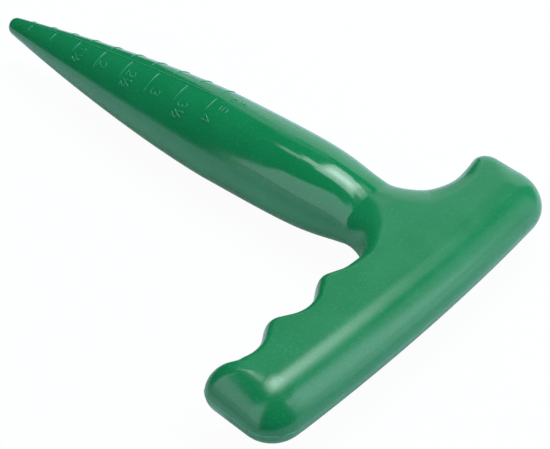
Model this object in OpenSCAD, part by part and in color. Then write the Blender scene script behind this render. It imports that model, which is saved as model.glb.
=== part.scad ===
// Dibber: a hand tool that makes planting holes, with a tapered spike, a depth scale and a T-shaped handle.
// It is moulded as two hollow halves, located by a tongue and groove and welded along the parting plane.
// Lengths are in millimetres. Shapes are drawn with the tip at x = 0, the spike along +X and the parting
// plane at z = 0, and are then moved so that the origin is the middle of the bottom of the bounding box.

/* [Spike] */
// Length from the tip to the palm of the handle
overall_l = 204.7; // [195:0.1:230]
// Distance from the tip to the thickest point
belly_at = 104.8; // [90:0.2:125]
// Diameter at the thickest point
belly_d = 29.3; // [26:0.1:34]
// Diameter of the rounded tip
tip_d = 5.6; // [5:0.1:9]
// Fullness of the taper from tip to belly
taper_power = 1.53; // [1.3:0.01:2]
// Width of the neck
neck_w = 25; // [20:0.1:27]
// Distance from the palm to the neck
neck_back = 44.9; // [43:0.1:52]
// How late the belly turns into the neck
waist_power = 3.8; // [2:0.1:4.5]
// Distance from the palm to the crease where the top of the spike meets the handle
crease_back = 40.7; // [36:0.1:43]
// How late the top of the spike falls to the crease
shoulder_power = 4; // [2:0.1:5]
// How far the crease lies below the top of the handle
neck_dip = 0.6; // [0:0.1:1.2]
// Length of the ramp from the crease up to the top of the handle
ramp_l = 10; // [6:0.5:16]

/* [Handle] */
// Reach of the long arm's palm corner from the spike's axis, before the corner is rounded
long_arm = 89.8; // [86:0.1:110]
// Reach of the short arm from the spike's axis
short_arm = 44.1; // [42:0.1:55]
// Thickness of the handle
bar_t = 18.7; // [17:0.1:24]
// Distance from the palm to the crown line of the handle
crown_back = 15.6; // [14:0.1:18]
// Height of the bow of the palm
palm_bow = 2.7; // [0.5:0.1:4]

/* [Rounding of the handle] */
// Rounding along the palm
palm_round = 12.8; // [10:0.1:15]
// Rounding along the finger grooves
finger_round = 3.6; // [3:0.1:8]
// Rounding at the end of the long arm
long_end_round = 16.1; // [8:0.1:18]
// Rounding at the end of the short arm
short_end_round = 12.6; // [8:0.1:17]
// Rounding where the long arm leaves the spike
root_round = 5; // [3:0.1:9]
// Rounding in the middle of the hook for the forefinger
hook_round = 14; // [9:0.1:16]
// Rounding where the hook ends
throat_round = 8; // [4:0.1:12]
// Rounding at the horn
horn_round = 3.6; // [3:0.1:8]

/* [Finger grooves] */
// Number of full grooves on the long arm
groove_count = 2; // [1:1:2]
// Distance from groove to groove
groove_pitch = 22.9; // [21:0.1:24]
// Distance from the spike's axis to the first crest
first_crest = 38.3; // [36:0.1:41]
// Distance from the palm to the corner of a crest
crest_back = 31.1; // [28:0.1:36]
// Distance from the palm to the corner of a groove
groove_back = 23.9; // [22:0.1:27]
// Shift of each crest and groove towards the palm
grip_lean = 0.6; // [0:0.1:1.5]
// Radius of a crest
crest_r = 4; // [4:0.1:6]
// Radius of a groove
groove_r = 11.8; // [9:0.1:16]
// Distance from the palm to the inner corner beside the spike
root_back = 28.6; // [26:0.1:32]
// Radius of the inner corner beside the spike
root_r = 12.2; // [9:0.1:14]
// Distance from the spike's axis to the bend before the first crest
root_groove_at = 31; // [28:0.1:32]

/* [Ends of the handle] */
// Distance from the palm to the finger corner of the long end
end_back = 33.1; // [29:0.1:36]
// Setback of that corner along the arm
end_slant = 2.6; // [0:0.1:4]
// Radius of that corner
end_finger_r = 4; // [4:0.1:7]
// Radius of the long end's palm corner
end_palm_r = 9.9; // [8:0.1:14]
// Radius of the short end's palm corner
short_palm_r = 14.3; // [12:0.1:20]
// Distance from the palm to the horn of the short arm
horn_back = 31.9; // [30:0.1:36]
// Radius of the horn
horn_r = 5.6; // [4:0.1:8]
// Depth of the throat behind the horn
throat_in = 1.9; // [1:0.1:4]
// Distance from the end of the short arm to the throat
throat_at = 11.7; // [10:0.1:14]
// Radius of the throat
throat_r = 6; // [4:0.1:8]
// Distance from the palm to the corner of the hook
hook_back = 29.2; // [26:0.1:31]
// Radius of the hook
hook_r = 15.5; // [11:0.1:17]

/* [Shells] */
// Wall thickness
wall = 2.6; // [2.2:0.1:3.2]
// Smallest rounding inside the hollow
hollow_r = 0.8; // [0.4:0.1:2]
// Length of solid plastic at the tip
solid_tip = 16; // [10:0.5:30]
// Distance from the outside to the groove for the tongue
tongue_in = 0.9; // [0.8:0.05:1.1]
// Width of the tongue
tongue_w = 0.8; // [0.6:0.05:1]
// Height of the tongue
tongue_h = 0.8; // [0.5:0.05:1.2]
// Clearance round the tongue
tongue_clear = 0.1; // [0.05:0.01:0.2]
// Depth of the weld bead between the halves
bead_in = 0.6; // [0.4:0.05:0.7]
// Height of the weld bead
bead_h = 0.6; // [0.4:0.05:1]
// How far the weld bead stands proud
bead_proud = 0.2; // [0.1:0.05:0.4]
// Thickness of a rib at its free edge
rib_t = 1.4; // [1:0.1:2]
// Thickness added to a rib at its root
rib_draft = 0.6; // [0:0.1:1]
// Gap between facing ribs
rib_gap = 0.4; // [0.2:0.1:1]
// Distance between the ribs of the spike
spike_rib_pitch = 19; // [16:0.5:24]
// Distance between the ribs of the handle
bar_rib_pitch = 18; // [15:0.5:22]

/* [Depth scale] */
// Number of half-inch marks
inch_marks = 8; // [4:1:8]
// Number of centimetre marks
cm_marks = 10; // [5:1:10]
// Width of a mark
mark_w = 0.5; // [0.4:0.05:0.8]
// Height of a mark above the surface
mark_h = 0.3; // [0.2:0.05:0.5]
// Length of a mark round the spike
mark_l = 7.5; // [5:0.5:10]
// Distance from the dividing line to the inch marks
inch_gap = 0.6; // [0.4:0.1:2]
// Distance from the dividing line to the centimetre marks
cm_gap = 1.6; // [0.5:0.1:3]

/* [Hidden] */
$fn = 64;
half_inch = 12.7;
cm = 10;

// Steps along and across the curved surfaces
nose_steps = 4;
spike_steps = 24;
corner_steps = 10;
arc_steps = 5;
skin_rows = 8;
cavity_rows = 6;
line_steps = 9;
// How late the rows leave the rounding for the level crown
level_power = 4;
// Pace at which the crown line's points leave the neck, as a share of their mean pace
neck_pace = 0.35;

tip_r = tip_d / 2;
belly_r = belly_d / 2;
neck_r = neck_w / 2;
crown_z = bar_t / 2;
neck_x = overall_l - neck_back;
crease_x = overall_l - crease_back;
neck_z = crown_z - neck_dip;
crown_x = overall_l - crown_back;
// The crown line stops short of each end, just past the palm corner's arc
end_margin = 1.5;
crown_low = -long_arm + end_palm_r + end_margin;
crown_high = short_arm - short_palm_r - end_margin;
palm_mid = (short_arm - long_arm) / 2;
palm_half = (short_arm + long_arm) / 2;
tongue_out = tongue_in + tongue_w;
// Largest turn of a mark round the spike, so that marks near the tip stay on the upper half
mark_turn = 70;
// Depth that marks and ribs are sunk into the wall they grow from
sink = 0.4;

function unit(v) = v / norm(v);
function flat(p) = [p[0], p[1]];
function mix(a, b, t) = a + (b - a) * t;
function distinct(p) = [for (i = [0 : len(p) - 1]) if (i == 0 || norm(p[i] - p[max(i - 1, 0)]) > 0.01) p[i]];

// Half width of the spike at a distance from the tip, and the share of it at the round tip
function spike_r(x) = x < belly_at
    ? belly_r - (belly_r - tip_r) * pow(1 - x / belly_at, taper_power)
    : let (turn = pow(min((x - belly_at) / (neck_x - belly_at), 1), waist_power))
    mix(neck_r, belly_r, (1 + cos(180 * turn)) / 2);
// Half height along the spike and the neck, with a crease where a ramp leads up to the handle
function crown_height(x) = x < belly_at ? spike_r(x)
    : x < crease_x ? mix(belly_r, neck_z, pow((x - belly_at) / (crease_x - belly_at), shoulder_power))
    : mix(neck_z, crown_z, min((x - crease_x) / ramp_l, 1));
function nose(x) = sqrt(1 - pow(1 - min(x / tip_r, 1), 2));

// The bowed palm and its slope
function palm_x(y) = overall_l - palm_bow * pow((y - palm_mid) / palm_half, 2);
function palm_slope(y) = -2 * palm_bow * (y - palm_mid) / pow(palm_half, 2);

// Rounded corners: a path is a list of [x, y, radius], and an arc touches both legs of its corner.
// Arcs that would overlap on a short leg shrink to share it.
function leg(c, i) = norm(flat(c[i + 1]) - flat(c[i]));
function half_angle(c, i) = acos(unit(flat(c[i - 1]) - flat(c[i])) * unit(flat(c[i + 1]) - flat(c[i]))) / 2;
function tangent(c, i) = i <= 0 || i >= len(c) - 1 ? 0 : c[i][2] / tan(half_angle(c, i));
function fitted(c, i) = tangent(c, i) * min(1, leg(c, i - 1) / (tangent(c, i - 1) + tangent(c, i)),
    leg(c, i) / (tangent(c, i) + tangent(c, i + 1)));
function arc(c, i, steps) =
    let (b = flat(c[i]), u = unit(flat(c[i - 1]) - b), v = unit(flat(c[i + 1]) - b), half = half_angle(c, i))
    let (t = fitted(c, i), r = t * tan(half))
    let (centre = b + unit(u + v) * r / sin(half), from = b + u * t - centre)
    let (start = atan2(from[1], from[0]), turn = -sign(cross(u, v)) * (180 - 2 * half))
    [for (k = [0 : steps]) centre + r * [cos(start + turn * k / steps), sin(start + turn * k / steps)]];

// Corners of the finger side, from the neck to the palm beside the long end
grip = concat(
    [[neck_x, -neck_r, 0],
     [overall_l - root_back, -neck_r, root_r],
     [overall_l - root_back, -root_groove_at, groove_r]],
    [for (k = [0 : groove_count - 1]) each
        [[overall_l - crest_back + k * grip_lean, -first_crest - k * groove_pitch, crest_r],
         [overall_l - groove_back + k * grip_lean, -first_crest - (k + 0.5) * groove_pitch, groove_r]]],
    [[overall_l - end_back, -long_arm + end_slant, end_finger_r],
     [palm_x(crown_low) + palm_slope(crown_low) * (-long_arm - crown_low), -long_arm, end_palm_r],
     [palm_x(crown_low), crown_low, 0]]);

// Corners of the short arm, from the palm to the neck
hook = [
    [palm_x(crown_high), crown_high, 0],
    [palm_x(crown_high) + palm_slope(crown_high) * (short_arm - crown_high), short_arm, short_palm_r],
    [overall_l - horn_back, short_arm, horn_r],
    [overall_l - horn_back + throat_in, short_arm - throat_at, throat_r],
    [overall_l - hook_back, neck_r, hook_r],
    [neck_x, neck_r, 0]];

// A station joins a point of the outline to the point of the crown above it:
// [outline point, crown point in plan, share of the handle, rounding there].
// The crown runs along the spike's axis to the handle and then along both arms.
spike_xs = concat([for (k = [0 : nose_steps]) tip_r * (1 - cos(80 * k / nose_steps))],
    [for (k = [1 : spike_steps]) mix(tip_r, neck_x, k / spike_steps)]);
function spike_station(x, side) =
    let (p = [x, side * spike_r(x) * nose(x)], q = [max(x, tip_r), 0])
    [p, q, 0, norm(q - p)];
function corner_station(p, u, round) =
    let (t = min(2 * u, 1), along = mix(t * t, t, neck_pace), out = max(2 * u - 1, 0))
    [p, [mix(neck_x, crown_x, along), min(max(p[1], crown_low), crown_high) * out], u, round];
function bar_station(p, inner_round) =
    let (q = [crown_x, min(max(p[1], crown_low), crown_high)], d = unit(p - q))
    let (end_round = p[1] < 0 ? long_end_round : short_end_round)
    [p, q, 1, min(norm([d[0] * (d[0] > 0 ? palm_round : inner_round), d[1] * end_round]), norm(p - q))];

// Rounding that changes evenly along an arm, from one place to another
function side_round(y, from, to, first, last) = mix(first, last, min(max((y - from) / (to - from), 0), 1));
function hook_rounding(u) = u < 0.5 ? mix(neck_r, hook_round, 2 * u)
    : mix(hook_round, throat_round, 2 * u - 1);

root = arc(grip, 1, corner_steps);
finger_side = concat(
    [for (x = spike_xs) spike_station(x, -1)],
    [for (k = [1 : corner_steps]) let (u = k / corner_steps)
        corner_station(root[k], u, mix(neck_r, root_round, u))],
    [for (p = distinct([for (i = [2 : len(grip) - 2]) each arc(grip, i, arc_steps)]))
        bar_station(p, side_round(p[1], root[corner_steps][1], -first_crest, root_round, finger_round))]);
hook_corner = arc(hook, 4, corner_steps);
hook_side = concat(
    [for (p = distinct([for (i = [1 : 3]) each arc(hook, i, arc_steps)]))
        bar_station(p, side_round(p[1], hook_corner[0][1], short_arm - horn_r, throat_round, horn_round))],
    [for (k = [0 : corner_steps - 1]) let (u = 1 - k / corner_steps)
        corner_station(hook_corner[k], u, hook_rounding(u))],
    [for (k = [len(spike_xs) - 1 : -1 : 1]) spike_station(spike_xs[k], 1)]);

// The palm has a station opposite each station of the arms, so that both meet on the crown
function on_crown(s) = s[1][0] == crown_x && s[1][1] > crown_low && s[1][1] < crown_high && s[1][1] != 0;
long_ys = [for (s = finger_side) if (on_crown(s)) s[1][1]];
short_ys = [for (s = hook_side) if (on_crown(s)) s[1][1]];
palm_ys = concat([crown_low], [for (k = [len(long_ys) - 1 : -1 : 0]) long_ys[k]], [0],
    [for (k = [len(short_ys) - 1 : -1 : 0]) short_ys[k]], [crown_high]);
palm_side = [for (y = palm_ys) bar_station([palm_x(y), y], palm_round)];

stations = concat(finger_side, palm_side, hook_side);
count = len(stations);
function at(i) = stations[(i + count) % count];
// Middle of the outline across the spike, where the origin lies
outline_ys = [for (s = stations) s[0][1]];
mid_y = (min(outline_ys) + max(outline_ys)) / 2;
function inward(i) = let (t = unit(at(i + 1)[0] - at(i - 1)[0])) [-t[1], t[0]];

// Stations that share a crown point share its vertex
function same(a, b) = norm(a - b) < 0.001;
function same_crown(i, j) = same(at(i)[1], at(j)[1]);
owners = [for (i = [0 : count - 1]) if (len([for (j = [0 : 1 : i - 1]) if (same_crown(i, j)) j]) == 0) i];
apex = [for (i = [0 : count - 1]) [for (k = [0 : len(owners) - 1]) if (same_crown(i, owners[k])) k][0]];

// Outline and crown, both set in from the outside by a depth
function edge(i, depth) = at(i)[0] + depth * inward(i);
function crown(i, depth) = let (q = at(i)[1]) [q[0], q[1], crown_height(q[0]) - depth];

// The hollow follows the outside, and inside the spike it starts behind the solid tip
function hollow_x(x) = mix(solid_tip, neck_x, x / neck_x);
function hollow_edge(i) = let (s = at(i), x = hollow_x(s[0][0])) s[2] > 0 ? edge(i, wall)
    : [x, sign(s[0][1]) * (spike_r(x) - wall) * nose(s[0][0])];
function hollow_crown(i) = let (s = at(i), x = hollow_x(s[1][0])) s[2] > 0 ? crown(i, wall)
    : [x, 0, crown_height(x) - wall];

// A rounded profile from an outline point, at t = 0, up to a crown point, at t = 1, level past its rounding
function dome(e, q, round, t) =
    let (share = min(round / norm(flat(q) - e), 1))
    let (part = mix(pow(t, level_power), 1 - cos(90 * t), share), rise = min(part / share, 1))
    [mix(e[0], q[0], part), mix(e[1], q[1], part), q[2] * sqrt(1 - pow(1 - rise, 2))];
function skin_row(k, depth) = [for (i = [0 : count - 1])
    dome(edge(i, depth), crown(i, depth), at(i)[3] - depth, k / skin_rows)];
function hollow_round(i) = at(i)[2] > 0 ? max(at(i)[3] - wall, hollow_r) : belly_r;
function hollow_row(k) = [for (i = [0 : count - 1])
    dome(hollow_edge(i), hollow_crown(i), hollow_round(i), k / cavity_rows)];
function rim_row(depth, z) = [for (i = [0 : count - 1]) [each edge(i, depth), z]];

// Triangles between two rows of points, between many rows, and between a row and the crown
function band(a, b) = [for (i = [0 : count - 1]) let (j = (i + 1) % count) each
    [[a + i, a + j, b + j], [a + i, b + j, b + i]]];
function bands(a, steps) = [for (r = [0 : steps - 1]) each band(a + r * count, a + (r + 1) * count)];
function cap_over(a, b) = [for (i = [0 : count - 1]) let (j = (i + 1) % count) each concat(
    apex[i] == apex[j] ? [] : [[a + apex[i], a + apex[j], b + j]], [[a + apex[i], b + j, b + i]])];
function cap_under(a, b) = [for (i = [0 : count - 1]) let (j = (i + 1) % count) each concat(
    apex[i] == apex[j] ? [] : [[a + i, b + apex[j], b + apex[i]]], [[a + i, a + j, b + apex[j]]])];

// Hollow half with its rim at the parting plane: the rim is a list of [depth, height]
module hollow_half(rim) {
    tops = len(owners);
    rows = concat([for (k = [skin_rows - 1 : -1 : 1]) skin_row(k, 0)], [for (r = rim) rim_row(r[0], r[1])],
        [for (k = [0 : cavity_rows - 1]) hollow_row(k)]);
    last = len(rows) - 1;
    polyhedron(
        points = concat([for (i = owners) crown(i, 0)], [for (row = rows) each row],
            [for (i = owners) hollow_crown(i)]),
        faces = concat(cap_over(0, tops), bands(tops, last),
            cap_under(tops + last * count, tops + (last + 1) * count)));
}

// Solid half that reaches halfway into the wall, which trims the ribs
module core_half() {
    tops = len(owners);
    depth = wall / 2;
    rows = [for (k = [skin_rows - 1 : -1 : 0]) skin_row(k, depth)];
    base = tops + (skin_rows - 1) * count;
    polyhedron(
        points = concat([for (i = owners) crown(i, depth)], [for (row = rows) each row]),
        faces = concat(cap_over(0, tops), bands(tops, skin_rows - 1),
            [[for (i = [0 : count - 1]) base + i]]));
}

// Rib across a hollow, thicker at its root
module rib(width) {
    hull() {
        translate([-rib_t / 2, -width / 2, rib_gap / 2]) cube([rib_t, width, sink]);
        translate([-(rib_t + rib_draft) / 2, -width / 2, belly_r]) cube([rib_t + rib_draft, width, sink]);
    }
}

module ribs() {
    intersection() {
        core_half();
        union() {
            for (x = [neck_x - spike_rib_pitch / 2 : -spike_rib_pitch : solid_tip + spike_rib_pitch])
                translate([x, 0, 0]) rib(belly_d);
            for (y = concat([for (y = [-bar_rib_pitch : -bar_rib_pitch : crown_low]) y], [bar_rib_pitch]))
                translate([crown_x, y, 0]) rotate([0, 0, 90]) rib(belly_d + neck_back);
        }
    }
}

// Raised mark round the spike at a distance from the tip, on one side of the dividing line
module mark(x, side, gap) {
    r = spike_r(x);
    turn = min(mark_l / r * 180 / PI, mark_turn);
    from = gap / r * 180 / PI;
    translate([x, 0, 0]) rotate([90, 0, 90]) rotate([0, 0, side > 0 ? 90 - from - turn : 90 + from])
        rotate_extrude(angle = turn) translate([r - sink, -mark_w / 2]) square([sink + mark_h, mark_w]);
}

// Dividing line along the top of the spike, from the first mark to the last
module dividing_line() {
    from = half_inch;
    to = max(inch_marks * half_inch, cm_marks * cm);
    for (k = [0 : line_steps - 1])
        hull() for (x = [mix(from, to, k / line_steps), mix(from, to, (k + 1) / line_steps)])
            translate([x, 0, crown_height(x) + (mark_h - sink) / 2])
                cube([mark_w, mark_w, mark_h + sink], center = true);
}

module depth_scale() {
    dividing_line();
    for (k = [1 : inch_marks]) mark(k * half_inch, -1, inch_gap);
    for (k = [1 : cm_marks]) mark(k * cm, 1, cm_gap);
}

module in_frame() {
    translate([-overall_l / 2, -mid_y, belly_r]) children();
}

// Upper half: a groove in its rim takes the tongue, and the depth scale stands on the spike
module upper_shell() {
    low = tongue_in - tongue_clear;
    high = tongue_out + tongue_clear;
    roof = tongue_h + tongue_clear;
    color("seagreen") in_frame() union() {
        hollow_half([[0, bead_h / 2], [bead_in, 0], [low, 0], [low, roof], [high, roof], [high, 0]]);
        ribs();
        depth_scale();
    }
}

// Lower half: the same shell turned over, with the tongue on its rim
module lower_shell() {
    color("mediumseagreen") in_frame() mirror([0, 0, 1]) union() {
        hollow_half([[0, bead_h / 2], [bead_in, 0], [tongue_in, 0], [tongue_in, -tongue_h],
            [tongue_out, -tongue_h], [tongue_out, 0]]);
        ribs();
    }
}

// Bead of the weld: it fills the notch between the rims and stands a little proud
module weld_bead() {
    rows = [rim_row(-bead_proud, 0), rim_row(0, -bead_h / 2), rim_row(bead_in, 0), rim_row(0, bead_h / 2)];
    color("darkseagreen") in_frame() polyhedron(
        points = [for (row = rows) each row],
        faces = [for (r = [0 : len(rows) - 1]) each band(r * count, (r + 1) % len(rows) * count)]);
}

upper_shell();
lower_shell();
weld_bead();
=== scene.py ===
"""Green plastic dibber on a white table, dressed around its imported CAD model.

Sizes are millimetres in the drawing's own frame: the tip at x = 0, the spike along +X and the parting plane
at z = 0. in_frame() moves drawing points to the part's frame, in metres.
"""
import math

import bmesh
import bpy
import numpy as np
from mathutils import Matrix, Vector


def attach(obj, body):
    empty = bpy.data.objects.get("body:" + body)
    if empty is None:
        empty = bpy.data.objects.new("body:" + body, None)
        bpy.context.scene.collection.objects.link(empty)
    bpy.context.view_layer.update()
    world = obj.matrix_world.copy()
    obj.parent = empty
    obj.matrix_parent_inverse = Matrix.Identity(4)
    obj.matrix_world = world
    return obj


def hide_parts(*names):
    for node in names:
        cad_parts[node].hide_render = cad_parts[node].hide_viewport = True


MM = 0.001

# Spike
OVERALL_L = 204.7
BELLY_AT = 104.8
BELLY_R = 14.65
TIP_R = 2.8
TAPER_POWER = 1.53
NECK_R = 12.5
NECK_BACK = 44.9
WAIST_POWER = 3.8

# Neck, which falls to a crease and rises from there on a ramp to the handle
CREASE_BACK = 40.7
SHOULDER_POWER = 4
NECK_DIP = 0.6
RAMP_L = 7
NECK_PACE = 0.43
CREASE_FADE = 14
CREASE_WINDOW = 19

# Handle
LONG_ARM = 89.8
SHORT_ARM = 44.1
CROWN_Z = 9.35
CROWN_BACK = 15.6
PALM_BOW = 2.7
END_MARGIN = 1.5
LEVEL_MARGIN = 2.5

# Rounding of the handle
PALM_ROUND = 12.8
FINGER_ROUND = 3.6
LONG_END_ROUND = 16.1
LONG_CORNER_ROUND = 24
SHORT_END_ROUND = 12.6
ROOT_ROUND = 5
ROOT_PACE = 1.4
HOOK_ROUND = 14
THROAT_ROUND = 8
HORN_ROUND = 3.6

# Finger grooves
GROOVE_COUNT = 2
GROOVE_PITCH = 22.9
FIRST_CREST = 38.3
CREST_BACK = 31.1
GROOVE_BACK = 23.9
GRIP_LEAN = 0.6
CREST_R = 4
GROOVE_R = 11.8
ROOT_BACK = 28.6
ROOT_R = 12.2
ROOT_GROOVE_AT = 31

# Ends of the handle
END_BACK = 33.1
END_SLANT = 2.6
END_FINGER_R = 4
END_PALM_R = 9.9
SHORT_PALM_R = 14.3
HORN_BACK = 31.9
HORN_R = 5.6
THROAT_IN = 1.9
THROAT_AT = 11.7
THROAT_R = 6
HOOK_BACK = 29.2
HOOK_R = 15.5

# Hollow of the shells
WALL = 2.6
HOLLOW_R = 0.8
SOLID_TIP = 16

# Steps along and across the surfaces
NOSE_STEPS = 14
NOSE_TURN = math.radians(84)
SPIKE_STEPS = 110
CORNER_STEPS = 40
ARC_STEPS = 18
END_STEPS = 4
SKIN_ROWS = 28
HOLLOW_ROWS = 7
LEVEL_POWER = 4
CREASE_ROW = 10
NEAR_CREASE = 0.1
SAME_POINT = 0.01
MERGED = 0.001
SHARP_ANGLE = math.radians(50)

# Places that follow from the sizes
NECK_X = OVERALL_L - NECK_BACK
CREASE_X = OVERALL_L - CREASE_BACK
NECK_Z = CROWN_Z - NECK_DIP
CROWN_X = OVERALL_L - CROWN_BACK
CROWN_LOW = -LONG_ARM + END_PALM_R + END_MARGIN
CROWN_HIGH = SHORT_ARM - SHORT_PALM_R - END_MARGIN
LEVEL_LOW = CROWN_LOW + LEVEL_MARGIN
PALM_MID = (SHORT_ARM - LONG_ARM) / 2
PALM_HALF = (SHORT_ARM + LONG_ARM) / 2


def mix(a, b, t):
    return a + (b - a) * t


def ease(t):
    return t * t * (3 - 2 * t)


def unit(v):
    return v / np.linalg.norm(v)


# Outline of the part in plan

def spike_radius(x):
    """Half width of the spike at a distance from the tip."""
    x = np.asarray(x, float)
    taper = BELLY_R - (BELLY_R - TIP_R) * np.clip(1 - x / BELLY_AT, 0, 1) ** TAPER_POWER
    turn = np.clip((x - BELLY_AT) / (NECK_X - BELLY_AT), 0, 1) ** WAIST_POWER
    waist = mix(NECK_R, BELLY_R, (1 + np.cos(np.pi * turn)) / 2)
    return np.where(x < BELLY_AT, taper, waist)


def crown_height(x):
    """Half height along the spike and the neck, with a crease where a ramp leads up to the handle."""
    x = np.asarray(x, float)
    fall = np.clip((x - BELLY_AT) / (CREASE_X - BELLY_AT), 0, 1) ** SHOULDER_POWER
    rise = np.clip((x - CREASE_X) / RAMP_L, 0, 1)
    behind = np.where(x < CREASE_X, mix(BELLY_R, NECK_Z, fall), mix(NECK_Z, CROWN_Z, rise))
    return np.where(x < BELLY_AT, spike_radius(x), behind)


def nose(x):
    """Share of the spike's width that the rounded tip leaves."""
    return math.sqrt(1 - (1 - min(x / TIP_R, 1)) ** 2)


def palm_x(y):
    return OVERALL_L - PALM_BOW * ((y - PALM_MID) / PALM_HALF) ** 2


def palm_slope(y):
    return -2 * PALM_BOW * (y - PALM_MID) / PALM_HALF ** 2


def corner_arc(corners, index, steps):
    """Arc that rounds one corner of a path of (x, y, radius), shrunk where two arcs share a short leg."""
    points = [np.array(c[:2], float) for c in corners]
    legs = [np.linalg.norm(b - a) for a, b in zip(points, points[1:])]

    def half_angle(i):
        u = unit(points[i - 1] - points[i])
        v = unit(points[i + 1] - points[i])
        return math.acos(np.clip(u @ v, -1, 1)) / 2

    def tangent(i):
        inside = 0 < i < len(corners) - 1
        return corners[i][2] / math.tan(half_angle(i)) if inside else 0

    shares = (legs[index - 1] / (tangent(index - 1) + tangent(index)),
              legs[index] / (tangent(index) + tangent(index + 1)))
    length = tangent(index) * min(1, *shares)
    half = half_angle(index)
    radius = length * math.tan(half)
    u = unit(points[index - 1] - points[index])
    v = unit(points[index + 1] - points[index])
    centre = points[index] + unit(u + v) * radius / math.sin(half)
    first = points[index] + u * length - centre
    start = math.atan2(first[1], first[0])
    turn = -np.sign(u[0] * v[1] - u[1] * v[0]) * (math.pi - 2 * half)
    angles = start + turn * np.linspace(0, 1, steps + 1)
    return [centre + radius * np.array([math.cos(a), math.sin(a)]) for a in angles]


def arcs(corners, indexes, steps):
    """Arcs of several corners in a row, without points that coincide."""
    points = [p for i in indexes for p in corner_arc(corners, i, steps)]
    kept = points[:1]
    for p in points[1:]:
        if np.linalg.norm(p - kept[-1]) > SAME_POINT:
            kept.append(p)
    return kept


def spaced(points, steps):
    """Points at even distances along a path."""
    points = np.array([p[:2] for p in points])
    legs = np.linalg.norm(np.diff(points, axis=0), axis=1)
    along = np.concatenate([[0], np.cumsum(legs)])
    places = np.linspace(0, along[-1], steps + 1)
    return np.column_stack([np.interp(places, along, points[:, k]) for k in (0, 1)])


def grip_corners():
    """Corners of the finger side, from the neck to the palm beside the long end."""
    root_x = OVERALL_L - ROOT_BACK
    corners = [(NECK_X, -NECK_R, 0), (root_x, -NECK_R, ROOT_R), (root_x, -ROOT_GROOVE_AT, GROOVE_R)]
    for k in range(GROOVE_COUNT):
        lean = k * GRIP_LEAN
        crest_y = -FIRST_CREST - k * GROOVE_PITCH
        corners.append((OVERALL_L - CREST_BACK + lean, crest_y, CREST_R))
        corners.append((OVERALL_L - GROOVE_BACK + lean, crest_y - GROOVE_PITCH / 2, GROOVE_R))
    end_x = palm_x(CROWN_LOW) - palm_slope(CROWN_LOW) * (LONG_ARM + CROWN_LOW)
    corners.append((OVERALL_L - END_BACK, -LONG_ARM + END_SLANT, END_FINGER_R))
    corners.append((end_x, -LONG_ARM, END_PALM_R))
    corners.append((palm_x(CROWN_LOW), CROWN_LOW, 0))
    return corners


def hook_corners():
    """Corners of the short arm, from the palm to the neck."""
    horn_x = OVERALL_L - HORN_BACK
    end_x = palm_x(CROWN_HIGH) + palm_slope(CROWN_HIGH) * (SHORT_ARM - CROWN_HIGH)
    return [(palm_x(CROWN_HIGH), CROWN_HIGH, 0),
            (end_x, SHORT_ARM, SHORT_PALM_R),
            (horn_x, SHORT_ARM, HORN_R),
            (horn_x + THROAT_IN, SHORT_ARM - THROAT_AT, THROAT_R),
            (OVERALL_L - HOOK_BACK, NECK_R, HOOK_R),
            (NECK_X, NECK_R, 0)]


# Stations: (outline point, crown point in plan, share of the handle, rounding)

def spike_station(x, side):
    edge = np.array([x, side * float(spike_radius(x)) * nose(x)])
    crown = np.array([max(x, TIP_R), 0.0])
    return edge, crown, 0.0, np.linalg.norm(crown - edge)


def corner_station(edge, share, rounding):
    """Station between neck and handle; its crown goes along the neck first and out along the arm then."""
    along = min(2 * share, 1)
    along = mix(along ** 2, along, NECK_PACE)
    out = max(2 * share - 1, 0)
    crown = np.array([mix(NECK_X, CROWN_X, along), np.clip(edge[1], LEVEL_LOW, CROWN_HIGH) * out])
    return edge, crown, share, rounding


def bar_station(edge, side_round):
    """Station of the handle, with its own rounding at the palm, at the fingers and at each end."""
    crown = np.array([CROWN_X, np.clip(edge[1], LEVEL_LOW, CROWN_HIGH)])
    d = unit(edge - crown)
    if edge[1] > 0:
        end_round = SHORT_END_ROUND
    else:
        end_round = LONG_CORNER_ROUND if d[0] > 0 else LONG_END_ROUND
    rounding = math.hypot(d[0] * (PALM_ROUND if d[0] > 0 else side_round), d[1] * end_round)
    return edge, crown, 1.0, min(rounding, np.linalg.norm(edge - crown))


def side_rounding(y, from_y, to_y, first, last):
    """Rounding that changes evenly along an arm, from one place to another."""
    return mix(first, last, np.clip((y - from_y) / (to_y - from_y), 0, 1))


def root_rounding(share):
    """Rounding along the root, which shrinks from the neck's to the handle's."""
    return mix(NECK_R, ROOT_ROUND, ease(min(ROOT_PACE * share, 1)))


def hook_rounding(share):
    """Rounding along the hook, largest in its middle."""
    if share < 0.5:
        return mix(NECK_R, HOOK_ROUND, 2 * share)
    return mix(HOOK_ROUND, THROAT_ROUND, 2 * share - 1)


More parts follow.
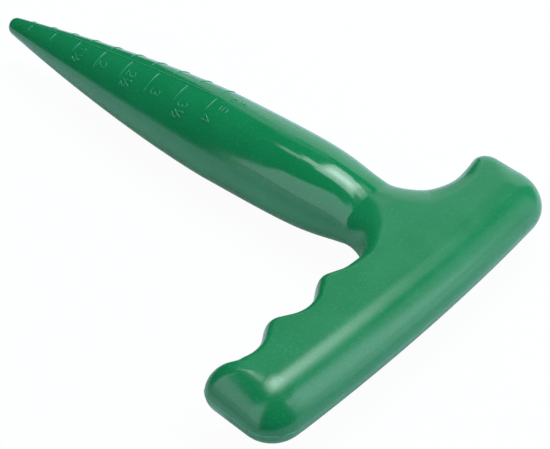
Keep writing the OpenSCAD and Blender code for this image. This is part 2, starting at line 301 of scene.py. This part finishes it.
def outline_stations():
    """Stations round the whole part, from the tip along the long arm, the palm and the short arm."""
    nose_xs = [TIP_R * (1 - math.cos(NOSE_TURN * k / NOSE_STEPS)) for k in range(NOSE_STEPS + 1)]
    spike_xs = nose_xs + [mix(TIP_R, NECK_X, k / SPIKE_STEPS) for k in range(1, SPIKE_STEPS + 1)]
    shares = [k / CORNER_STEPS for k in range(CORNER_STEPS + 1)]
    grip = grip_corners()
    hook = hook_corners()
    root = spaced(grip[:1] + corner_arc(grip, 1, 2 * CORNER_STEPS), CORNER_STEPS)
    inner_hook = spaced(corner_arc(hook, 4, 2 * CORNER_STEPS) + hook[-1:], CORNER_STEPS)

    finger_side = [spike_station(x, -1) for x in spike_xs]
    finger_side += [corner_station(root[k], shares[k], root_rounding(shares[k]))
                    for k in range(1, CORNER_STEPS + 1)]
    finger_side += [bar_station(p, side_rounding(p[1], root[-1][1], -FIRST_CREST, ROOT_ROUND, FINGER_ROUND))
                    for p in arcs(grip, range(2, len(grip) - 1), ARC_STEPS)]

    horn_y = SHORT_ARM - HORN_R
    hook_side = [bar_station(p, side_rounding(p[1], inner_hook[0][1], horn_y, THROAT_ROUND, HORN_ROUND))
                 for p in arcs(hook, range(1, 4), ARC_STEPS)]
    hook_side += [corner_station(inner_hook[k], 1 - shares[k], hook_rounding(1 - shares[k]))
                  for k in range(CORNER_STEPS)]
    hook_side += [spike_station(x, 1) for x in spike_xs[:0:-1]]

    def crown_ys(side):
        ys = [crown[1] for _, crown, _, _ in side if crown[0] == CROWN_X and crown[1] != 0]
        return [y for y in ys if LEVEL_LOW < y < CROWN_HIGH]

    palm_ys = [mix(CROWN_LOW, LEVEL_LOW, k / END_STEPS) for k in range(END_STEPS + 1)]
    palm_ys += crown_ys(finger_side)[::-1] + [0.0] + crown_ys(hook_side)[::-1] + [CROWN_HIGH]
    palm_side = [bar_station(np.array([palm_x(y), y]), PALM_ROUND) for y in palm_ys]
    return finger_side + palm_side + hook_side


STATIONS = outline_stations()
EDGE = np.array([s[0] for s in STATIONS])
CROWN = np.array([s[1] for s in STATIONS])
SHARE = np.array([s[2] for s in STATIONS])
ROUND = np.array([s[3] for s in STATIONS])
ON_SPIKE = SHARE == 0
MID_Y = (EDGE[:, 1].min() + EDGE[:, 1].max()) / 2
TO_FRAME = np.array([-OVERALL_L / 2, -MID_Y, BELLY_R])


def in_frame(points):
    """Drawing points in millimetres, moved to the part's frame in metres."""
    return (np.asarray(points, float) + TO_FRAME) * MM


def inward():
    """Unit normals of the outline that point into the part."""
    t = np.roll(EDGE, -1, 0) - np.roll(EDGE, 1, 0)
    t /= np.linalg.norm(t, axis=1, keepdims=True)
    return np.column_stack([-t[:, 1], t[:, 0]])


INWARD = inward()


# Meshes

def dome_rows(edge, crown, height, low_height, rounding, rows):
    """Rows of points from an outline up to a crown, rounded first and level after that.

    The height that a row is worked out for goes from low_height at the outline to height at the crown.
    """
    reach = np.linalg.norm(crown - edge, axis=1)
    share = np.minimum(rounding / reach, 1)
    grid = []
    for t in np.linspace(0, 1, rows + 1):
        top = mix(low_height, height, t ** 2)
        part = mix(t ** LEVEL_POWER, 1 - math.cos(math.pi / 2 * t), share)
        rise = np.minimum(part / share, 1)
        plan = edge + (crown - edge) * part[:, None]
        grid.append(np.column_stack([plan, top * np.sqrt(1 - (1 - rise) ** 2)]))
    return grid


def softened(height, side):
    """Heights without the crease, towards the hook on the upper half and all round on the lower one."""
    window = np.hanning(CREASE_WINDOW)
    even = np.convolve(height, window / window.sum(), "same")
    near = np.exp(-((CROWN[:, 0] - CREASE_X) / CREASE_FADE) ** 2)
    faded = (EDGE[:, 1] > 0) | (side < 0)
    return mix(height, even, near * faded)


def hollow_rows(height):
    """Inner surface of the upper half, which on the spike starts behind the solid tip."""
    edge_x = mix(SOLID_TIP, NECK_X, EDGE[:, 0] / NECK_X)
    crown_x = mix(SOLID_TIP, NECK_X, CROWN[:, 0] / NECK_X)
    ends = np.array([nose(x) for x in EDGE[:, 0]])
    spike_edge = np.column_stack([edge_x, np.sign(EDGE[:, 1]) * (spike_radius(edge_x) - WALL) * ends])
    spike_crown = np.column_stack([crown_x, np.zeros(len(crown_x))])
    edge = np.where(ON_SPIKE[:, None], spike_edge, EDGE + WALL * INWARD)
    crown = np.where(ON_SPIKE[:, None], spike_crown, CROWN)
    top = np.where(ON_SPIKE, crown_height(crown_x), height) - WALL
    rounding = np.where(ON_SPIKE, BELLY_R, np.maximum(ROUND - WALL, HOLLOW_R))
    return dome_rows(edge, crown, top, top, rounding, HOLLOW_ROWS)


def new_piece(name, points, faces, material):
    """A smooth mesh piece that rides on the part's one body."""
    mesh = bpy.data.meshes.new(name)
    mesh.from_pydata(in_frame(points).tolist(), [], faces)
    bm = bmesh.new()
    bm.from_mesh(mesh)
    bmesh.ops.remove_doubles(bm, verts=bm.verts, dist=MERGED * MM)
    bmesh.ops.recalc_face_normals(bm, faces=bm.faces)
    for face in bm.faces:
        face.smooth = True
    bm.to_mesh(mesh)
    bm.free()
    mesh.set_sharp_from_angle(angle=SHARP_ANGLE)
    mesh.materials.append(material)
    piece = bpy.data.objects.new(name, mesh)
    bpy.context.scene.collection.objects.link(piece)
    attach(piece, "root")
    return piece


def bands(row_count, count, closed_rows=False):
    """Quads between rows of points that run round a closed outline."""
    faces = []
    for r in range(row_count if closed_rows else row_count - 1):
        a = r * count
        b = (r + 1) % row_count * count
        for i in range(count):
            j = (i + 1) % count
            faces.append((a + i, a + j, b + j, b + i))
    return faces


def sharpen(piece, lines):
    """Marks the edges along lines of points as sharp."""
    spots = {tuple(p) for line in lines for p in np.float32(in_frame(line)).tolist()}
    mesh = piece.data
    marked = [tuple(v.co) in spots for v in mesh.vertices]
    for edge in mesh.edges:
        a, b = edge.vertices
        if marked[a] and marked[b]:
            edge.use_edge_sharp = True


def half_shell(name, node, side, material):
    """Hollow half of the body, above the parting plane for side 1 and below it for side -1."""
    mirror = np.array([1, 1, side])
    height = crown_height(CROWN[:, 0])
    outside = dome_rows(EDGE, CROWN, height, softened(height, side), ROUND, SKIN_ROWS)
    rows = outside[::-1] + hollow_rows(height)
    points = np.concatenate(rows) * mirror
    piece = new_piece(name, points, bands(len(rows), len(EDGE)), material)
    top = np.array(outside[CREASE_ROW:]) * mirror
    creases = np.flatnonzero((np.abs(CROWN[:, 0] - CREASE_X) < NEAR_CREASE) & (EDGE[:, 1] < 0))
    sharpen(piece, [top[:, i] for i in creases])
    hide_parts(node)


# Weld between the shells, most ragged round the end of the long arm

BEAD_PROUD = 0.16
BEAD_H = 0.5
BEAD_IN = 0.5
BEAD_SUNK = 0.1
BEAD_DRIFT = 0.3
RAGGED_REACH = 16
PALM_SHOWN = 0.6
# Profile of the bead: (share of its depth, share of its half height)
BEAD_PROFILE = ((1.0, 0.0), (0.75, 0.7), (0.0, 1.0), (-1.0, 0.0), (0.0, -1.0), (0.75, -0.7))
# Even, uneven and ragged share of what stands proud and of the height
PROUD_SHARES = (0.75, 0.2, 0.25)
HEIGHT_SHARES = (0.7, 0.3, 0.5)
# Lengths of the waves along the bead, and the shift from one wave to the next in radians
PROUD_WAVES = (7.3, 3.1, 1.9)
RAGGED_WAVES = (2.3, 1.3)
HEIGHT_WAVES = (9.1, 4.7)
DRIFT_WAVES = (6.1, 3.7)
WAVE_SHIFT = 1.7


def wobble(along, waves):
    """Smooth irregular value between about -1 and 1, from waves of given lengths."""
    return sum(np.sin(2 * math.pi * along / w + k * WAVE_SHIFT) for k, w in enumerate(waves)) / len(waves)


def weld_bead(material):
    """Bead of melted plastic along the seam, proud at the palm and ragged round the end of the long arm."""
    steps = np.linalg.norm(np.roll(EDGE, -1, 0) - EDGE, axis=1)
    along = np.concatenate([[0], np.cumsum(steps)[:-1]])
    ragged = np.exp(-((EDGE[:, 1] + LONG_ARM) / RAGGED_REACH) ** 2)
    palm = PALM_SHOWN * np.clip((EDGE[:, 0] - CROWN_X) / PALM_ROUND, 0, 1)

    even, uneven, rough = PROUD_SHARES
    proud = even + uneven * wobble(along, PROUD_WAVES) + rough * ragged * wobble(along, RAGGED_WAVES)
    proud = mix(-BEAD_SUNK, BEAD_PROUD * proud, np.maximum(ragged, palm))
    even, uneven, rough = HEIGHT_SHARES
    half = BEAD_H / 2 * (even + uneven * wobble(along, HEIGHT_WAVES) + rough * ragged)
    drift = BEAD_DRIFT * ragged * wobble(along, DRIFT_WAVES)

    rows = []
    for out, up in BEAD_PROFILE:
        depth = mix(BEAD_IN / 2, -proud, out) if out >= 0 else np.full(len(EDGE), BEAD_IN)
        plan = EDGE + INWARD * depth[:, None]
        rows.append(np.column_stack([plan, drift + up * half]))
    faces = bands(len(rows), len(EDGE), closed_rows=True)
    piece = new_piece("weld_seam", np.concatenate(rows), faces, material)
    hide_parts("weld_bead")


# Depth scale: ridges on the spike, placed by distance from the tip and by girth from the top line

HALF_INCH = 12.7
INCH_GAP = 0.6
# Half inches: (length of the mark, whole number beside it, whether a half follows, place of the figure)
INCH_MARKS = {
    1: (2.6, None, False, 0, 0),
    2: (3.6, None, False, 0, 0),
    3: (4.6, "1", True, 1.6, 2.2),
    4: (7.6, "2", False, 1.1, 4.9),
    5: (7.3, "2", True, 2.0, 4.3),
    6: (8.9, "3", False, 2.6, 6.9),
    7: (7.6, "3", True, 2.2, 6.9),
    8: (5.7, "4", False, 0.2, 7.8),
}
CM = 10
CM_GAP = 1.6
CM_MARKS = 10
CM_MARK_L = 9
CM_TURN = 1.25
MARK_W = 0.5
MARK_H = 0.24
MARK_SINK = 0.15
MARK_STEPS = 13
LINE_STEPS = 59
RIDGE_END = 0.45
# Upper part of a ridge's profile: (share of its half width, share of its height)
RIDGE_PROFILE = ((-0.86, 0.45), (-0.5, 0.86), (0, 1.0), (0.5, 0.86), (0.86, 0.45))
FIGURE_W = 0.42
FIGURE_H = 0.22
FIGURE_L = 3.6
FRACTION_L = 2.3
# Signs of a half beside its whole number: (sign, offset along the spike, offset in girth, size)
HALF_SIGNS = (("1", 1.6, 2.9, FRACTION_L), ("/", 0, 3.5, FIGURE_L), ("2", -0.3, 4.6, FRACTION_L))
UNIT_L = 3.4
UNITS_AT = 105.2
# Unit signs: (letters, their pitch, girth of their feet)
UNIT_SIGNS = (("in", 1.5, 4.6), ("cm", 3.0, -1.2))
STROKE_STEP = 0.08
STROKE_ARC_STEPS = 10
SLOPE_STEP = 0.1


def on_spike(x, girth):
    """Point and outward normal on the spike; girth is positive towards the inch side, -Y."""
    r = spike_radius(x)
    slope = (spike_radius(x + SLOPE_STEP) - spike_radius(x - SLOPE_STEP)) / (2 * SLOPE_STEP)
    turn = girth / r
    point = np.column_stack([x, -r * np.sin(turn), r * np.cos(turn)])
    normal = np.column_stack([-slope, -np.sin(turn), np.cos(turn)])
    return point, normal / np.linalg.norm(normal, axis=1, keepdims=True)


def ridge(xs, girths, width, height):
    """Points and faces of a rounded ridge along a line on the spike, tapered at both ends."""
    point, up = on_spike(xs, girths)
    ahead = np.gradient(point, axis=0)
    ahead /= np.linalg.norm(ahead, axis=1, keepdims=True)
    side = np.cross(ahead, up)
    count = len(point)
    full = np.ones((count, 1))
    full[[0, -1]] = RIDGE_END
    foot = -MARK_SINK / height
    profile = ((-1.0, foot), *RIDGE_PROFILE, (1.0, foot))
    rows = [point + side * (a * width / 2 * full) + up * (b * height * full) for a, b in profile]
    size = len(rows)
    faces = []
    for r in range(size):
        s = (r + 1) % size
        for i in range(count - 1):
            faces.append((r * count + i, r * count + i + 1, s * count + i + 1, s * count + i))
    faces.append(tuple(r * count for r in range(size)))
    faces.append(tuple(r * count + count - 1 for r in reversed(range(size))))
    return np.concatenate(rows), faces


def arc_stroke(cx, cy, rx, ry, start, end):
    angles = np.radians(np.linspace(start, end, STROKE_ARC_STEPS + 1))
    return [(cx + rx * math.cos(a), cy + ry * math.sin(a)) for a in angles]


# Strokes of the figures and unit signs, in a box of height 1
STROKES = {
    "1": [[(0.1, 0.78), (0.32, 1.0), (0.32, 0.0)]],
    "2": [arc_stroke(0.31, 0.7, 0.28, 0.3, 165, -35) + [(0.04, 0.0), (0.62, 0.0)]],
    "3": [arc_stroke(0.29, 0.76, 0.25, 0.24, 150, -90), arc_stroke(0.29, 0.26, 0.3, 0.26, 90, -150)],
    "4": [[(0.5, 0.0), (0.5, 1.0), (0.0, 0.3), (0.68, 0.3)]],
    "/": [[(0.0, 0.0), (0.55, 1.0)]],
    "i": [[(0.1, 0.0), (0.1, 0.62)], [(0.1, 0.84), (0.1, 0.92)]],
    "n": [[(0.0, 0.0), (0.0, 0.62)], arc_stroke(0.24, 0.35, 0.24, 0.27, 180, 0) + [(0.48, 0.0)]],
    "c": [arc_stroke(0.3, 0.31, 0.3, 0.31, 45, 315)],
    "m": [[(0.0, 0.0), (0.0, 0.62)], arc_stroke(0.19, 0.38, 0.19, 0.24, 180, 0) + [(0.38, 0.0)],
          arc_stroke(0.57, 0.38, 0.19, 0.24, 180, 0) + [(0.76, 0.0)]],
}


def dense(stroke, step):
    """A stroke with a point at least every step, so that it bends with the surface."""
    points = [np.array(p, float) for p in stroke]
    out = points[:1]
    for a, b in zip(points, points[1:]):
        n = max(1, math.ceil(np.linalg.norm(b - a) / step))
        out += [mix(a, b, k / n) for k in range(1, n + 1)]
    return np.array(out)


class RidgeSet:
    """Collects ridges into one mesh."""

    def __init__(self):
        self.points = []
        self.faces = []
        self.count = 0

    def add(self, xs, girths, width=MARK_W, height=MARK_H):
        points, faces = ridge(xs, girths, width, height)
        self.points.append(points)
        self.faces += [tuple(i + self.count for i in f) for f in faces]
        self.count += len(points)

    def mark(self, x, first, last):
        """A mark across the spike, between two girths."""
        girths = np.linspace(first, last, MARK_STEPS + 1)
        self.add(np.full(len(girths), float(x)), girths)

    def glyph(self, sign, x, girth, size, along_axis=False):
        """A figure that reads away from the top line, or along the spike if along_axis is set."""
        for stroke in STROKES[sign]:
            s = dense(stroke, STROKE_STEP) * size
            if along_axis:
                self.add(x + s[:, 0], girth - s[:, 1], FIGURE_W, FIGURE_H)
            else:
                self.add(x + s[:, 1], girth + s[:, 0], FIGURE_W, FIGURE_H)


def depth_scale(material):
    """Raised marks, figures and unit signs of the depth scale."""
    ridges = RidgeSet()
    line = np.linspace(HALF_INCH, max(INCH_MARKS) * HALF_INCH, LINE_STEPS + 1)
    ridges.add(line, np.zeros(len(line)))
    for k, (length, figure, half, ahead, aside) in INCH_MARKS.items():
        x = k * HALF_INCH
        ridges.mark(x, INCH_GAP, INCH_GAP + length)
        if figure:
            ridges.glyph(figure, x + ahead, aside, FIGURE_L)
        for sign, along, round_by, size in HALF_SIGNS if half else ():
            ridges.glyph(sign, x + ahead + along, aside + round_by, size)
    for k in range(1, CM_MARKS + 1):
        x = k * CM
        ridges.mark(x, -CM_GAP, -min(CM_GAP + CM_MARK_L, CM_TURN * float(spike_radius(x))))
    for letters, pitch, girth in UNIT_SIGNS:
        for place, letter in enumerate(letters):
            ridges.glyph(letter, UNITS_AT + pitch * place, girth, UNIT_L, along_axis=True)
    new_piece("depth_scale", np.concatenate(ridges.points), ridges.faces, material)


# Materials, with scales per metre and depths of the bumps in metres

PLASTIC_IOR = 1.58
GLOSS_TINT = (0.86, 1, 1, 1)
CLOUD_SCALE = 70
CLOUD_DETAIL = 4
CLOUD_RANGE = (0.3, 0.7)
HAZE = 0.16
UNEVEN_GLOSS = (0.85, 1.15)
FLECK_SCALE = 2200
FLECK_SHARE = 0.3
FLECK_RIM = (0.6, 0.25)
FLECK_STRENGTH = 0.65
# Bumps: (scale, detail, strength, depth)
FINE_PEEL = (900, 2, 0.25, 0.00002)
BROAD_SWELL = (55, 1, 0.5, 0.00012)


def add_node(tree, kind, **values):
    node = tree.nodes.new(kind)
    for name, value in values.items():
        setattr(node, name, value)
    return node


def noise(tree, place, scale, detail):
    """Smooth noise over the part."""
    node = add_node(tree, "ShaderNodeTexNoise")
    node.inputs["Scale"].default_value = scale
    node.inputs["Detail"].default_value = detail
    tree.links.new(place, node.inputs["Vector"])
    return node.outputs["Fac"]


def ranged(tree, value, source, target=(0, 1)):
    """A value moved from one range to another."""
    node = add_node(tree, "ShaderNodeMapRange")
    for name, limit in zip(("From Min", "From Max", "To Min", "To Max"), (*source, *target)):
        node.inputs[name].default_value = limit
    tree.links.new(value, node.inputs["Value"])
    return node.outputs["Result"]


def worked_out(tree, operation, *values, clamp=False):
    """Result of a sum on sockets and plain numbers."""
    node = add_node(tree, "ShaderNodeMath", operation=operation, use_clamp=clamp)
    for socket, value in zip(node.inputs, values):
        if isinstance(value, bpy.types.NodeSocket):
            tree.links.new(value, socket)
        else:
            socket.default_value = value
    return node.outputs["Value"]


def flecks(tree, place):
    """Mask of fine round flecks, each in its own cell, in a share of the cells."""
    cells = add_node(tree, "ShaderNodeTexVoronoi")
    cells.inputs["Scale"].default_value = FLECK_SCALE
    tree.links.new(place, cells.inputs["Vector"])
    split = add_node(tree, "ShaderNodeSeparateColor")
    tree.links.new(cells.outputs["Color"], split.inputs["Color"])
    chosen = ranged(tree, split.outputs["Red"], (1 - FLECK_SHARE, 1))
    dot = ranged(tree, cells.outputs["Distance"], FLECK_RIM)
    return worked_out(tree, "MULTIPLY", chosen, dot)


def bumped(tree, place, scale, detail, strength, depth):
    """Bump node over noise."""
    node = add_node(tree, "ShaderNodeBump")
    node.inputs["Strength"].default_value = strength
    node.inputs["Distance"].default_value = depth
    tree.links.new(noise(tree, place, scale, detail), node.inputs["Height"])
    return node


def plastic(name, deep, pale, gloss, satin):
    """Moulded plastic with cloudy colour, fine pearly flecks, a glossy spike and a satin handle."""
    material = bpy.data.materials.new(name)
    material.use_nodes = True
    tree = material.node_tree
    link = tree.links.new
    shader = tree.nodes["Principled BSDF"]
    shader.inputs["IOR"].default_value = PLASTIC_IOR
    shader.inputs["Specular Tint"].default_value = GLOSS_TINT
    place = add_node(tree, "ShaderNodeTexCoord").outputs["Object"]
    cloud = noise(tree, place, CLOUD_SCALE, CLOUD_DETAIL)

    haze = ranged(tree, cloud, CLOUD_RANGE, (0, HAZE))
    share = worked_out(tree, "MULTIPLY_ADD", flecks(tree, place), FLECK_STRENGTH, haze, clamp=True)
    colour = add_node(tree, "ShaderNodeMix", data_type="RGBA")
    colour.inputs["A"].default_value = (*deep, 1)
    colour.inputs["B"].default_value = (*pale, 1)
    link(share, colour.inputs["Factor"])
    link(colour.outputs["Result"], shader.inputs["Base Color"])

    axes = add_node(tree, "ShaderNodeSeparateXYZ")
    link(place, axes.inputs["Vector"])
    neck = in_frame([(NECK_X, 0, 0), (CREASE_X + RAMP_L, 0, 0)])[:, 0]
    finish = ranged(tree, axes.outputs["X"], neck, (gloss, satin))
    uneven = ranged(tree, cloud, CLOUD_RANGE, UNEVEN_GLOSS)
    link(worked_out(tree, "MULTIPLY", finish, uneven), shader.inputs["Roughness"])

    fine = bumped(tree, place, *FINE_PEEL)
    broad = bumped(tree, place, *BROAD_SWELL)
    link(fine.outputs["Normal"], broad.inputs["Normal"])
    link(broad.outputs["Normal"], shader.inputs["Normal"])
    return material


# Table

TABLE_COLOUR = (0.66, 0.76, 0.84, 1)
TABLE_ROUGHNESS = 0.9
TABLE_GLOW = 0.96
MIRRORED_GLOW = 0.12
TABLE_L = 2000
TABLE_D = 1500
TABLE_FRONT = (53, -108)
TABLE_LEFT = 450
TABLE_TURN = math.radians(-14)


def table_top():
    """White table that shows and mirrors as the white background, and still takes the part's shadow."""
    material = bpy.data.materials.new("white_table")
    material.use_nodes = True
    tree = material.node_tree
    link = tree.links.new
    matt = tree.nodes["Principled BSDF"]
    matt.inputs["Base Color"].default_value = TABLE_COLOUR
    matt.inputs["Roughness"].default_value = TABLE_ROUGHNESS
    matt.inputs["Specular IOR Level"].default_value = 0
    glow = add_node(tree, "ShaderNodeEmission")
    path = add_node(tree, "ShaderNodeLightPath").outputs
    mirrored = worked_out(tree, "MAXIMUM", path["Is Glossy Ray"], path["Is Transmission Ray"])
    dimmed = worked_out(tree, "MULTIPLY", mirrored, MIRRORED_GLOW)
    share = worked_out(tree, "MULTIPLY_ADD", path["Is Camera Ray"], TABLE_GLOW, dimmed)
    blend = add_node(tree, "ShaderNodeMixShader")
    link(share, blend.inputs["Fac"])
    link(matt.outputs["BSDF"], blend.inputs[1])
    link(glow.outputs["Emission"], blend.inputs[2])
    link(blend.outputs["Shader"], tree.nodes["Material Output"].inputs["Surface"])
    return material


def table():
    """Table top whose front edge lies a hand's breadth before the part."""
    right = np.array([math.cos(TABLE_TURN), math.sin(TABLE_TURN)])
    back = np.array([-right[1], right[0]])
    low = np.array(TABLE_FRONT) - TABLE_LEFT * right
    corners = [low, low + TABLE_L * right, low + TABLE_L * right + TABLE_D * back, low + TABLE_D * back]
    mesh = bpy.data.meshes.new("table")
    points = [(x, y, -BELLY_R) for x, y in corners]
    mesh.from_pydata(in_frame(points).tolist(), [], [(0, 1, 2, 3)])
    mesh.materials.append(table_top())
    top = bpy.data.objects.new("table", mesh)
    bpy.context.scene.collection.objects.link(top)


# Light

STAGE_MIDDLE = (150, -20, 0)
CARD_DISTANCE = 1000
CARD_COLOUR = (0.93, 1, 1.12)
CEILING = 1000
CEILING_STEP = 5
# Overhead lamps, of which the later ones hang above the earlier: (name, low corner, high corner, radiance)
OVERHEADS = (
    ("tip", (-385, -15), (-260, 110), 1.9),
    ("tail", (-260, 50), (-140, 225), 3.2),
    ("wide", (-140, -30), (200, 660), 3.2),
    ("top", (-150, 660), (60, 760), 2.3),
    ("back", (120, 660), (280, 900), 0.8),
    ("right", (200, 200), (300, 620), 2.6),
    ("middle", (-115, 90), (185, 640), 1.5),
    ("core", (-90, 190), (165, 460), 2.0),
    ("heart", (-60, 240), (140, 390), 1.2),
)
# Upright cards: (name, azimuths, elevations, radiance)
CARDS = (
    ("left_low", (-124.5, -80.5), (-14, 7), 0.75),
    ("left_dim", (-160, -124.5), (-14, -3), 0.25),
    ("right_low", (20, 45), (-3, 18), 1.2),
    ("right", (20, 47), (18, 56), 1.85),
    ("right_edge", (47, 66), (0, 52), 0.55),
    ("back", (89, 126), (0, 37), 0.75),
    ("back_side", (126, 134), (0, 40), 0.5),
    ("back_top", (114, 136), (38, 48), 0.28),
)
# Cards on the left, each higher than the one before, in degrees
LEFT_CARDS = 11
LEFT_FROM = -124.5
LEFT_STEP = 4
LEFT_LOW = 7
LEFT_TOP = 41
LEFT_RISE = 3.6
LEFT_RADIANCE = 1.35
# Fills that the part does not mirror: an overhead lamp and a card
TOP_FILL = ((-300, 0), (700, 1000), 1.2)
SIDE_FILL = ((0, 60), (0, 60), 0.8)
FILL_COLOUR = (0.85, 1, 1.2)
# Strength of the world for all rays but the camera's
WORLD_DIM = 0.03


def softbox(name, centre, facing, width, height, radiance):
    """Rectangular lamp of even radiance; an area lamp's radiance is its power / 4 / area."""
    lamp = bpy.data.lights.new(name, "AREA")
    lamp.shape = "RECTANGLE"
    lamp.size = width * MM
    lamp.size_y = height * MM
    lamp.energy = 4 * lamp.size * lamp.size_y * radiance
    holder = bpy.data.objects.new(name, lamp)
    bpy.context.scene.collection.objects.link(holder)
    holder.location = in_frame(centre)
    holder.rotation_euler = Vector(facing).to_track_quat("-Z", "Y").to_euler()
    return holder


def overhead(name, low, high, radiance, height):
    """Lamp that faces down, between two corners in plan."""
    centre = ((low[0] + high[0]) / 2, (low[1] + high[1]) / 2, height)
    return softbox(name, centre, (0, 0, -1), high[0] - low[0], high[1] - low[1], radiance)


def card(name, azimuth, elevation, radiance):
    """Upright lamp that fills a range of azimuth and elevation, in degrees, as seen from the part."""
    middle = math.radians(sum(azimuth) / 2)
    spread = math.radians(azimuth[1] - azimuth[0]) / 2
    low, high = (CARD_DISTANCE * math.tan(math.radians(e)) for e in elevation)
    out = Vector((math.cos(middle), math.sin(middle), 0))
    centre = Vector(STAGE_MIDDLE) + out * CARD_DISTANCE + Vector((0, 0, (low + high) / 2))
    holder = softbox(name, centre, -out, 2 * CARD_DISTANCE * math.tan(spread), high - low, radiance)
    holder.data.color = CARD_COLOUR
    return holder


def studio():
    """Overhead lamps and cards round the part, and two soft fills that it does not mirror."""
    for k, (name, low, high, radiance) in enumerate(OVERHEADS):
        overhead("overhead_" + name, low, high, radiance, CEILING + k * CEILING_STEP)
    for name, azimuth, elevation, radiance in CARDS:
        card("card_" + name, azimuth, elevation, radiance)
    for k in range(LEFT_CARDS):
        start = LEFT_FROM + k * LEFT_STEP
        top = LEFT_TOP + k * LEFT_RISE
        card("card_left_%d" % k, (start, start + LEFT_STEP), (LEFT_LOW, top), LEFT_RADIANCE)
    for fill in (overhead("overhead_fill", *TOP_FILL, CEILING), card("card_fill", *SIDE_FILL)):
        fill.visible_glossy = False
        fill.data.color = FILL_COLOUR


def backdrop():
    """World that is white behind the part and dim for all other rays."""
    world = bpy.data.worlds.new("studio")
    world.use_nodes = True
    tree = world.node_tree
    sky = tree.nodes["Background"]
    sky.inputs["Color"].default_value = (1, 1, 1, 1)
    seen = add_node(tree, "ShaderNodeLightPath").outputs["Is Camera Ray"]
    tree.links.new(ranged(tree, seen, (0, 1), (WORLD_DIM, 1)), sky.inputs["Strength"])
    bpy.context.scene.world = world


# Camera, from the photograph's perspective

IMAGE_W = 550
SENSOR_W = 36
FOCAL_PX = 1386.8
CAMERA_AZIMUTH = math.radians(40.18)
CAMERA_ELEVATION = math.radians(39.82)
CAMERA_ROLL = math.radians(0.97)
CAMERA_DISTANCE = 416
CAMERA_TARGET = (144.88, -22.39, 0)


def camera():
    """Camera that looks at its target from the photograph's side and height, rolled as it was."""
    flat = math.cos(CAMERA_ELEVATION)
    aside = math.sin(CAMERA_AZIMUTH) * flat
    back = Vector((aside, -math.cos(CAMERA_AZIMUTH) * flat, math.sin(CAMERA_ELEVATION)))
    level = Vector((0, 0, 1)).cross(back).normalized()
    upright = back.cross(level)
    right = level * math.cos(CAMERA_ROLL) + upright * math.sin(CAMERA_ROLL)
    up = upright * math.cos(CAMERA_ROLL) - level * math.sin(CAMERA_ROLL)
    lens = bpy.data.cameras.new("camera")
    lens.sensor_fit = "HORIZONTAL"
    lens.sensor_width = SENSOR_W
    lens.lens = FOCAL_PX / IMAGE_W * SENSOR_W
    eye = bpy.data.objects.new("camera", lens)
    bpy.context.scene.collection.objects.link(eye)
    place = Vector(in_frame(CAMERA_TARGET)) + back * CAMERA_DISTANCE * MM
    eye.matrix_world = Matrix.Translation(place) @ Matrix((right, up, back)).transposed().to_4x4()
    bpy.context.scene.camera = eye


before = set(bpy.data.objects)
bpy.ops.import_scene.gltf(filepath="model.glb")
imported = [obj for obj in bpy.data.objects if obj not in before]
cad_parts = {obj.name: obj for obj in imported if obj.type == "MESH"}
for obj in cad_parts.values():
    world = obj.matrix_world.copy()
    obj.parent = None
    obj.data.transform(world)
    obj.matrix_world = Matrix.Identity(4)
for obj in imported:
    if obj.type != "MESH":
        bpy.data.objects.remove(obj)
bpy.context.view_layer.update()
camera()
table()
studio()
backdrop()
bpy.context.scene.view_settings.view_transform = "Standard"

green = plastic("green_plastic", deep=(0.004, 0.2, 0.062), pale=(0.02, 0.32, 0.14), gloss=0.1, satin=0.23)
# The marks get a paler green than the body: painted highlight for the light that catches the raised ridges,
# whose shape is modelled as it is
marks = plastic("raised_marks_painted_highlight", deep=(0.01, 0.27, 0.12), pale=(0.04, 0.4, 0.2), gloss=0.3, satin=0.3)
weld = plastic("weld_plastic", deep=(0.07, 0.36, 0.2), pale=(0.22, 0.55, 0.38), gloss=0.35, satin=0.35)
half_shell("upper_half", "upper_shell", 1, green)
half_shell("lower_half", "lower_shell", -1, green)
depth_scale(marks)
weld_bead(weld)
